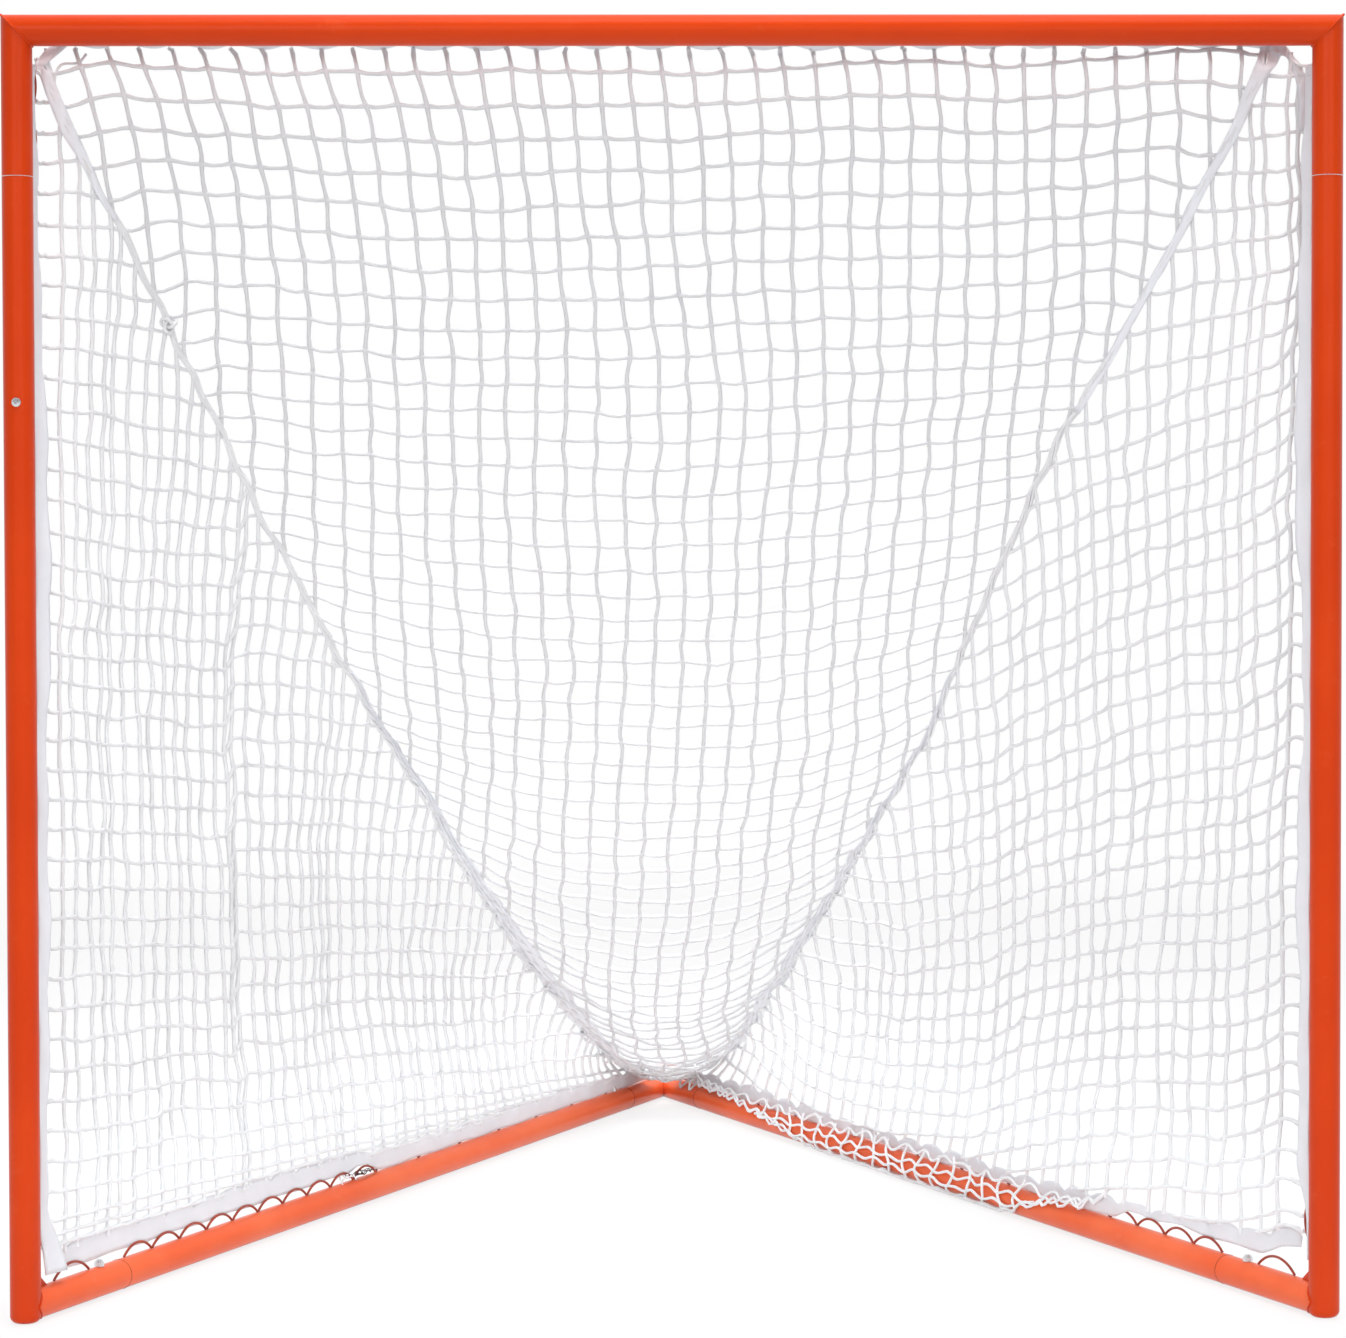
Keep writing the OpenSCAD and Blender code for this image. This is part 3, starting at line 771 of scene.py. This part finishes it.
def seam(side, name, node):
    """Cords that wind round each other down a seam."""
    lines = []
    strands, steps, first = 6, 300, 0.004
    for k in range(strands):
        line = []
        for n in range(steps + 1):
            t = T_END * (first + (1 - first) * n / steps)
            turn = 2 * math.pi * k / strands + n * (0.20 + 0.02 * k * soft_step(t, 0.4, 0.6))
            half = seam_width(side, t)
            across = math.cos(turn) * half
            ahead = math.sin(turn) * min(half, 0.0034)
            line.append(loosened(seam_point(side, t)) + Vector((across, -0.004 + ahead, across * 0.3)))
        lines.append(even(line))
    cords(name, lines, cord_white, [node], thick=0.0044)


seam(LEFT, "seam_cords_left", "seam_left")
seam(RIGHT, "seam_cords_right", "seam_right")


def ribbon(name, points, widths):
    """A flat tape through the points, its width along the mouth's plane, with a soft ripple."""
    path = smooth_path(points)
    count = len(path) - 1

    def shape(along, across):
        n = min(int(along * count + 0.5), count)
        ahead = path[min(n + 1, count)] - path[max(n - 1, 0)]
        sideways = ahead.cross(BACK).normalized()
        half = between(along, widths) / 2
        ripple = 0.0016 * math.sin(along * 40.0 + across * 5.0)
        return path[n] + sideways * (across - 0.5) * 2 * half + BACK * ripple

    length = sum((b - a).length for a, b in zip(path, path[1:]))
    strip(name, shape, count, 4, (0.020, length))


def gathered_bands():
    """The netting drawn together along the seams' lower ends: pale folded bands on the top panel's edges."""
    start, end, lowest = 0.40, T_END - 0.003, 0.056
    widths = {LEFT: [(0, 0.006), (0.25, 0.022), (0.5, 0.044), (0.8, 0.068), (1, 0.080)],
              RIGHT: [(0, 0.006), (0.3, 0.014), (0.6, 0.028), (1, 0.044)]}
    for side, word in SIDES:
        def shape(along, across):
            t = start + (end - start) * along
            wide = between(along, widths[side]) * (1 + 0.18 * noise.noise(Vector((along * 14, side, 0))))
            x = bag_middle(t) + side * (bag_half(t) + wide * (0.15 - across))
            fold = 0.0035 * math.sin(across * 17 + along * 9)
            fold += 0.004 * noise.noise(Vector((along * 50, across * 4, side)))
            return raised(loosened(top_point(t, x)) + Vector((0, -0.006 + fold, 0.3 * fold)), lowest)

        strip("gathered_band_" + word, shape, 150, 12, (0.04, 1.2), thick=0.0012)


gathered_bands()


def corner_tapes():
    """The seam tapes' upper ends: the left one folds round the corner, the right one forks to bar and post."""
    nearer = Vector((0, -0.009, 0))
    left = [spot(-0.878, 0.052, 1.842), spot(-0.900, 0.050, 1.823), spot(-0.9135, 0.050, 1.805)]
    left += [loosened(seam_point(LEFT, t)) + nearer for t in (0.016, 0.030, 0.045, 0.060, 0.078, 0.095)]
    ribbon("corner_tape_left", left, [(0, 0.016), (0.22, 0.015), (0.29, 0.011), (0.44, 0.019), (0.63, 0.020),
                                      (0.80, 0.012), (1, 0.006)])
    right = [spot(0.868, 0.050, 1.842), spot(0.861, 0.050, 1.820)]
    right += [loosened(seam_point(RIGHT, t)) + nearer
              for t in (0.012, 0.026, 0.040, 0.056, 0.075, 0.10, 0.13, 0.17, 0.21)]
    ribbon("corner_tape_right", right, [(0, 0.034), (0.12, 0.030), (0.26, 0.019), (0.5, 0.014), (1, 0.010)])
    fork = [spot(0.862, 0.048, 1.836), spot(0.878, 0.048, 1.831), spot(0.890, 0.048, 1.822),
            spot(0.901, 0.049, 1.805), spot(0.910, 0.050, 1.782), spot(0.915, 0.051, 1.755),
            spot(0.915, 0.052, 1.715)]
    ribbon("corner_fork_right", fork, [(0, 0.018), (0.22, 0.016), (0.34, 0.008), (0.5, 0.015), (1, 0.020)])


corner_tapes()


# ---------------------------------------------------------------- hem tapes
def hem(name, node, start, end, out, beside, edges, offset):
    """A tape beside a tube: edges gives its edges' distances from the tube's axis, offset its way sideways."""
    length = (end - start).length

    def shape(along, across):
        inner, outer = edges(along)
        rise = inner + (outer - inner) * across
        return start.lerp(end, along) + out * rise + beside * offset(along, across)

    strip(name, shape, round(length / 0.008), 6, (0.032, length), [node])


def hems():
    """The hem tapes of both posts, both base tubes and the crossbar."""
    lean, dip = math.radians(32), math.radians(20)
    widths = {LEFT: [(0, 0.086), (0.012, 0.080), (0.031, 0.0645), (0.055, 0.043), (0.115, 0.043), (0.19, 0.047),
                     (0.30, 0.050), (0.355, 0.045), (0.43, 0.049), (0.53, 0.059), (0.58, 0.060), (0.63, 0.052),
                     (0.69, 0.053), (0.75, 0.047), (0.83, 0.040), (0.91, 0.035), (1, 0.032)],
              RIGHT: [(0, 0.031), (0.035, 0.034), (0.057, 0.041), (0.08, 0.051), (0.14, 0.049), (0.20, 0.046),
                      (0.30, 0.052), (0.36, 0.051), (0.42, 0.044), (0.50, 0.043), (0.56, 0.047), (0.62, 0.057),
                      (0.68, 0.058), (0.76, 0.055), (0.83, 0.053), (0.91, 0.046), (1, 0.040)]}
    bottom = {LEFT: 0.062, RIGHT: 0.078}
    nearest = {LEFT: 0.036, RIGHT: 0.026}
    for side, word in SIDES:
        out = Vector((-side * math.sin(lean), math.cos(lean), 0))
        beside = Vector((side * math.cos(lean), math.sin(lean), 0))
        low, high = spot(side * POST_X, 0, bottom[side]), spot(side * POST_X, 0, 1.806)
        edges = wavy_edges((high - low).length, [(0, nearest[side]), (0.035, 0.026), (1, 0.025)],
                           widths[side], 0.0020)
        hem("hem_tape_post_" + word, "web_post_" + word, low, high, out, beside, edges,
            lambda along, across: -BESIDE - 0.0035 + 0.0025 * math.sin(along * 60) * across)
        foot = spot(side * POST_X, 0, TUBE_R)
        hem("hem_tape_base_" + word, "web_base_" + word, foot + way_back(side) * BASE_TAPE_START,
            foot + way_back(side) * (BASE_TAPE_START + BASE_TAPE), UP, way_out(side), base_edges[side],
            lambda along, across: base_offset(side, along, across))
    ends = spot(-POST_X + 0.050, 0, BAR_Z), spot(POST_X - 0.050, 0, BAR_Z)
    edges = wavy_edges((ends[1] - ends[0]).length, [(0, 0.036), (1, 0.036)],
                       [(0, 0.058), (0.5, 0.063), (1, 0.058)], 0.006)
    hem("hem_tape_crossbar", "web_crossbar", *ends, Vector((0, math.cos(dip), -math.sin(dip))),
        Vector((0, math.sin(dip), math.cos(dip))), edges,
        lambda along, across: BESIDE + 0.003 * (1 + math.sin(along * 140)) * across)


hems()


# ---------------------------------------------------------------- spare netting on the base
# How far over the right base tube the spare netting reaches, at shares of the side panel's depth.
COVER = [(0.235, 0.05), (0.27, 0.30), (0.33, 0.50), (0.37, 0.95), (0.43, 1.30), (0.60, 1.28), (0.68, 1.10),
         (0.74, 0.80), (0.82, 0.50), (0.90, 0.35), (0.985, 0.25)]


def over_base(s, e):
    """A place on the spare netting: s along the right base tube, e from the hem over the tube to the ground."""
    turn = math.radians(between(e, [(0, 92), (0.3, 66), (1.0, -40), (1.4, -62)]))
    reach = between(e, [(0, 0.070), (0.15, 0.052), (0.35, 0.033), (0.5, 0.0272), (1.0, 0.0272), (1.4, 0.044)])
    around = way_out(RIGHT) * -math.cos(turn) + UP * math.sin(turn)
    return raised(base_point(RIGHT, s, TUBE_R) + around * reach, 0.004)


def slack(s, e):
    """Irregular squares of the netting that lies loose."""
    push = noise.noise_vector(Vector((s * 34.0, e * 2.4, 1.7)))
    return over_base(s + push.x * 0.0065, e + push.y * 0.075) + Vector((0, 0, abs(push.z) * 0.002))


def spare_netting():
    """Loose netting folded over the right base tube: rows and a double edge along it, and columns over it."""
    lines = []
    low, high, step, pitch, inner = COVER[0][0], COVER[-1][0], 0.0045, 0.0262, 0.24
    count = round((high - low) / step)
    along = [low + (high - low) * k / count for k in range(count + 1)]
    for e0 in (0.30, 0.52, 0.76, 1.00, 1.16):
        for covered, stretch in itertools.groupby(along, lambda s: e0 < eased(s, COVER)):
            places = list(stretch)
            if covered and len(places) > 1:
                lines.append(even(slack(s, e0 + 0.05 * math.sin(s * 190 + e0 * 9)) for s in places))
    lines.append(even(slack(s, eased(s, COVER) + 0.07 * math.sin(s * 285)) for s in along))
    lines.append(even(slack(s, eased(s, COVER) - 0.03 + 0.06 * math.sin(s * 230 + 1)) for s in along))
    for k in range(round((high - low) / pitch)):
        s = low + pitch * (k + 0.5)
        end = eased(s, COVER)
        if end < 0.5:
            continue
        steps = max(round((end - inner) * 14), 3)
        shares = [inner + (end - inner) * n / steps for n in range(steps + 1)]
        lines.append(even(slack(s + 0.004 * math.sin(7 * e + k), e) for e in shares))
    cords("spare_netting_right", lines, cord_white, thick=0.0050)


def shaken(point, seed, reach):
    """The point moved by noise, up to the reach each way, but kept above the rear corner's tubes."""
    shake = noise.noise_vector(Vector(seed))
    moved = point + Vector((shake.x * reach[0], shake.y * reach[1], shake.z * reach[2]))
    return raised(moved, 0.057)


def gathered_end():
    """The net's end, bunched above the rear corner: cords across it and cords along it."""
    lines = []
    rows, columns, depth = 30, 18, 0.085
    for k in range(rows):
        t = 0.885 + depth * k / (rows - 1)
        line = []
        for n in range(25):
            share = n / 12 - 1
            aside = share * bag_half(t) * (1.05 - 0.1 * k / (rows - 1))
            point = top_point(min(t, T_END), bag_middle(t) + aside)
            line.append(shaken(point, (share * 3.5, k * 0.83, 4.0), (0.010, 0.030, 0.016)))
        lines.append(even(line))
    for k in range(columns):
        share = k / ((columns - 1) / 2) - 1
        line = []
        for n in range(13):
            t = 0.88 + depth * n / 12
            point = top_point(t, bag_middle(t) + share * bag_half(t))
            line.append(shaken(point, (n * 0.4, k * 0.9, 8.0), (0.016, 0.024, 0.012)))
        lines.append(even(line))
    cords("gathered_net_end", lines, cord_white, thick=0.0050)


spare_netting()
gathered_end()


# ---------------------------------------------------------------- ties, knots, welds and joints
GROUND = 0.001             # no ring goes below it


def knot(name, centre, size, material, thick):
    """An overhand knot."""
    line = [centre + Vector((math.sin(a) + 2 * math.sin(2 * a), -math.sin(3 * a) * 1.2,
                             math.cos(a) - 2 * math.cos(2 * a))) * size / 3 for a in turns(48)]
    cords(name, [even(line)], material, thick=thick)


def ring(centre, one, other, radius):
    """A closed round line about centre in the plane of two directions."""
    return even(raised(centre + one * math.cos(a) * radius + other * math.sin(a) * radius, GROUND)
                for a in turns(48))


def tube_ring(side, back):
    """A round line on a base tube, square to it."""
    centre = spot(side * POST_X * (1 - back / CORNER_Y), back, TUBE_R)
    return ring(centre, way_out(side), UP, TUBE_R)


def cope_bead(side):
    """The uneven weld bead where a base tube is coped to its post."""
    reach = TUBE_R + 0.0006
    foot = spot(side * POST_X, 0, TUBE_R)
    bead = []
    for k, turn in enumerate(turns(48)):
        place = foot + way_out(side) * math.sin(turn) * reach + UP * math.cos(turn) * reach
        place += way_back(side) * (TUBE_R * abs(math.cos(turn)) + 0.0008)
        bead.append((raised(place, 0.0020), 1 + 0.22 * math.sin(k * 2.4)))
    return bead


def mitre_bead(side):
    """The uneven weld bead round a top corner's mitre."""
    reach = TUBE_R + 0.0002
    slant = Vector((side, 0, 1)).normalized() * math.sqrt(2)
    corner = spot(side * POST_X, 0, BAR_Z)
    return [(corner + slant * reach * math.cos(a) + BACK * reach * math.sin(a), 1 + 0.2 * math.sin(11 * a))
            for a in turns(72)]


def welds_and_joints():
    """Weld beads at the posts' feet and the top mitres, and thin lines where the tubes part."""
    beads, post_joints, base_joints = [], [], []
    rim = TUBE_R * math.sin(SIDE_ANGLE)      # how far a square-cut base tube's end reaches past its axis' end
    for side, word in SIDES:
        beads += [cope_bead(side), mitre_bead(side)]
        post_joints.append(ring(spot(side * POST_X, 0, JOINT_Z), Vector((1, 0, 0)), BACK, TUBE_R))
        low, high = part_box("base_side_" + word)
        base_joints += [tube_ring(side, low[1] + rim - FRONT), tube_ring(side, high[1] - rim - FRONT)]
    base_joints.append(ring(spot(0, CORNER_Y, TUBE_R), Vector((0, 1 / math.sin(SIDE_ANGLE), 0)), UP, TUBE_R))
    cords("weld_beads", beads, paint, thick=0.0034)
    cords("post_joint_lines", post_joints, plated, thick=0.0012)
    cords("base_joint_lines", base_joints, rods, thick=0.0011)


def by_left_base(along, inside, z):
    """A point at a distance along the left base tube, one inside the goal from it, and a height."""
    return spot(-POST_X, 0, z) + way_back(LEFT) * along - way_out(LEFT) * inside


def lace_shadow():
    """A tangle of dark cords on the left base tube, painted shadow in the hollow among the lacing's loops, with
    a few white ends.
    """
    dark, pale = [], []
    for k in range(6):
        reach = 0.030 + 0.010 * (k % 3)
        points = []
        for n in range(6):
            shake = noise.noise_vector(Vector((k * 2.7, n * 0.9, 6.0)))
            points.append(by_left_base(1.010 + reach * (n / 2.5 - 1) + shake.x * 0.020,
                                       0.006 + shake.y * 0.012, 0.0500 + abs(shake.z) * 0.018))
        dark.append([(point, 1.0 - 0.4 * n / 40) for n, point in enumerate(smooth_path(points))])
    for k in range(5):
        shake = noise.noise_vector(Vector((k * 1.9, 3.0, 2.0)))
        start = by_left_base(0.965 + shake.x * 0.012, 0.006, 0.052)
        points = [start, start + Vector((shake.x * 0.02, -0.006, 0.004 + shake.y * 0.01)),
                  start + Vector((shake.z * 0.03 - 0.008, -0.014, -0.004 + shake.x * 0.02))]
        pale.append(even(smooth_path(points)))
    cords("lace_shadow_left", dark, shadow_cord, thick=0.0019)
    cords("lace_ends_left", pale, cord_white, thick=0.0024)


# Five places on a lashing: share of half its width, distance in front of the tube's axis, and height.
LASHING = ((-1, 0.004, 0.060), (-0.6, 0.0145, 0.046), (0, 0.0197, 0.037), (0.6, 0.0145, 0.046),
           (1, 0.004, 0.060))


def rear_lashings():
    """Two short white V's that hold the net's end to the right rear corner tube."""
    lashings = []
    for back, width in ((2.014, 0.010), (1.975, 0.008)):
        middle = spot(RIGHT * POST_X * (1 - back / CORNER_Y), back, 0)
        points = [middle - way_out(RIGHT) * ahead + UP * z + Vector((width, 0, 0)) * share
                  for share, ahead, z in LASHING]
        lashings.append(even(smooth_path(points)))
    cords("rear_lashings", lashings, cord_white, thick=0.0044)


def corner_cords():
    """Loose cord ends in both top corners."""
    loop = [spot(-0.846, 0.056, 1.826), spot(-0.858, 0.054, 1.813), spot(-0.883, 0.053, 1.809),
            spot(-0.893, 0.055, 1.782), spot(-0.888, 0.060, 1.762)]
    upper = [spot(0.889, 0.047, 1.822), spot(0.901, 0.044, 1.809), spot(0.916, 0.022, 1.802)]
    lower = [spot(0.893, 0.048, 1.815), spot(0.905, 0.044, 1.797), spot(0.917, 0.022, 1.789)]
    cords("corner_cords", [even(smooth_path(line)) for line in (loop, upper, lower)], cord_white, thick=0.0042)


welds_and_joints()
knot("seam_knot_left", loosened(seam_point(LEFT, 0.157)) + Vector((0, -0.010, 0)), 0.0125, cord_white, 0.0056)
lace_shadow()
rear_lashings()
corner_cords()


# ---------------------------------------------------------------- floor, light and background
def pale_floor():
    """A wide pale floor, which looks white to the camera and more so far away."""
    bm = bmesh.new()
    bmesh.ops.create_grid(bm, x_segments=4, y_segments=4, size=60)
    mesh = bpy.data.meshes.new("floor")
    bm.to_mesh(mesh)
    bm.free()
    floor = bpy.data.objects.new("floor", mesh)
    bpy.context.collection.objects.link(floor)
    floor.location.z = -0.0012
    f = Finish("pale_floor")
    colour = f.mixed(f.noise(f.place(), 3.0), (0.86, 0.86, 0.86, 1), (0.88, 0.88, 0.88, 1))
    mesh.materials.append(f.wear(Base_Color=colour, Roughness=0.9, Specular_IOR_Level=0.0))
    camera, glossy = f.rays("Camera", "Glossy")
    glow = f.node("ShaderNodeEmission", {"Color": (1, 1, 1, 1), "Strength": 1.0})
    away = f.node("ShaderNodeVectorMath", {0: f.place()}, out="Value", operation="LENGTH")
    share = (camera + glossy) * (0.80 + away.clipped(2.5, 8.0) * 0.20)
    blend = f.node("ShaderNodeMixShader", {0: share, 1: Value(f, f.shader.outputs[0]), 2: glow})
    f.feed(f.tree.nodes["Material Output"].inputs["Surface"], blend)


def white_sky():
    """A sky that the camera sees as plain white, and whose light is weaker from the front."""
    world = bpy.data.worlds.new("studio")
    bpy.context.scene.world = world
    world.use_nodes = True
    sky = Nodes(world.node_tree)
    light = sky.tree.nodes["Background"]
    camera, through, diffuse = sky.rays("Camera", "Transmission", "Diffuse")
    plain = sky.node("ShaderNodeBackground", {"Color": (1, 1, 1, 1), "Strength": 1.0})
    back = sky.node("ShaderNodeSeparateXYZ", {0: sky.place("Generated")}, out="Y")
    from_behind = sky.node("ShaderNodeMapRange", {"Value": back, "From Min": -0.5, "From Max": 0.5,
                                                  "To Min": 0.42, "To Max": 1.0})
    sky.feed(light.inputs["Color"], (0.97, 0.98, 1.0, 1))
    sky.feed(light.inputs["Strength"], from_behind * sky.maths("MULTIPLY_ADD", diffuse, -0.30, 1.0))
    blend = sky.node("ShaderNodeMixShader", {0: sky.maths("MAXIMUM", camera, through),
                                             1: Value(sky, light.outputs[0]), 2: plain})
    sky.feed(sky.tree.nodes["World Output"].inputs["Surface"], blend)


def lamp(name, place, aim, size, energy, spread):
    """A soft lamp that no mirror and no camera sees."""
    data = bpy.data.lights.new(name, "AREA")
    data.shape = "RECTANGLE"
    data.size, data.size_y = size
    data.energy = energy
    data.spread = math.radians(spread)
    holder = bpy.data.objects.new(name, data)
    bpy.context.collection.objects.link(holder)
    holder.location = place
    holder.visible_glossy = False
    holder.visible_camera = False
    holder.rotation_euler = (Vector(aim) - Vector(place)).to_track_quat("-Z", "Y").to_euler()


pale_floor()
white_sky()
lamp("key", (0.3, -1.7, 6.2), (0, 0.6, 0.05), size=(3.0, 3.0), energy=40, spread=60)
lamp("front_left", (-1.8, -6.6, 3.2), (0, 0.4, 0.1), size=(2.6, 2.2), energy=19, spread=58)
lamp("front_right", (2.4, -6.6, 2.6), (0, 0.3, 0.1), size=(2.6, 2.2), energy=15, spread=62)
lamp("rear", (0, 1.0, 5.0), (0, 0.7, 0), size=(3.6, 3.2), energy=50, spread=110)
bpy.context.scene.view_settings.view_transform = "Standard"
